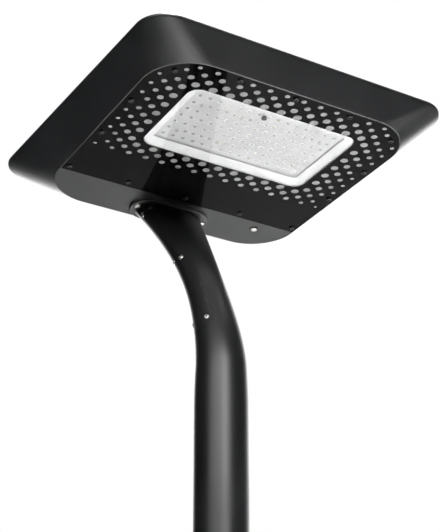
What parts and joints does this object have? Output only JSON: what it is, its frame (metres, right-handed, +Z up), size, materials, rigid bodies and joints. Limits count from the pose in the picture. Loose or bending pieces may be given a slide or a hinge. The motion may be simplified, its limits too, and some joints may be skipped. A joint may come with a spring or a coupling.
{
  "type": "solar path light",
  "caption": "Square solar luminaire on a round pole whose curved neck bolts under the head; lensed light window below, solar module on top, anchor base.",
  "frame": {"origin": "centre of the base flange's underside, on the pole's axis", "axes": "+Z up along the pole, -Y towards the front of the head, +X across the head"},
  "size_m": [0.5266, 0.496, 2.4824],
  "materials": {
    "dark_paint": "fine-textured dark grey powder coat",
    "pole_paint": "satin dark grey powder coat",
    "stainless": "plain stainless",
    "black_screw": "black oxide",
    "gasket": "matt black rubber",
    "black_plastic": "moulded black",
    "gloss_black": "polished black sheet",
    "clear_pane": "clear, polished",
    "white_plastic": "smooth white",
    "lens_clear": "clear moulded optic",
    "white_board": "white solder mask",
    "bare_aluminium": "mill finish",
    "battery_wrap": "blue shrink wrap",
    "circuit_green": "green solder mask",
    "solar_glass": "glass laminate over dark cells"
  },
  "bodies": {
    "root": {"base_flange": "dark_paint", "base_grub_screws": "stainless", "pole": "pole_paint", "neck_cover": "pole_paint", "neck_cover_gasket": "gasket", "neck_cover_screws": "stainless", "foot_gasket": "gasket", "foot_bolts": "stainless", "head_housing": "dark_paint", "vent_plug": "black_plastic", "light_panel": "gloss_black", "light_panel_gasket": "gasket", "light_panel_screws": "black_screw", "window_pane": "clear_pane", "window_seal": "gasket", "light_frame": "white_plastic", "lens_plate": "lens_clear", "lens_screws": "stainless", "sensor_bezel": "black_plastic", "led_board": "white_board", "chassis_plate": "bare_aluminium", "chassis_screws": "stainless", "battery_packs": "battery_wrap", "battery_straps": "bare_aluminium", "battery_strap_screws": "stainless", "charge_controller": "circuit_green", "controller_screws": "stainless", "solar_module": "solar_glass", "solar_module_seal": "gasket", "solar_junction_box": "black_plastic"}
  },
  "joints": []
}
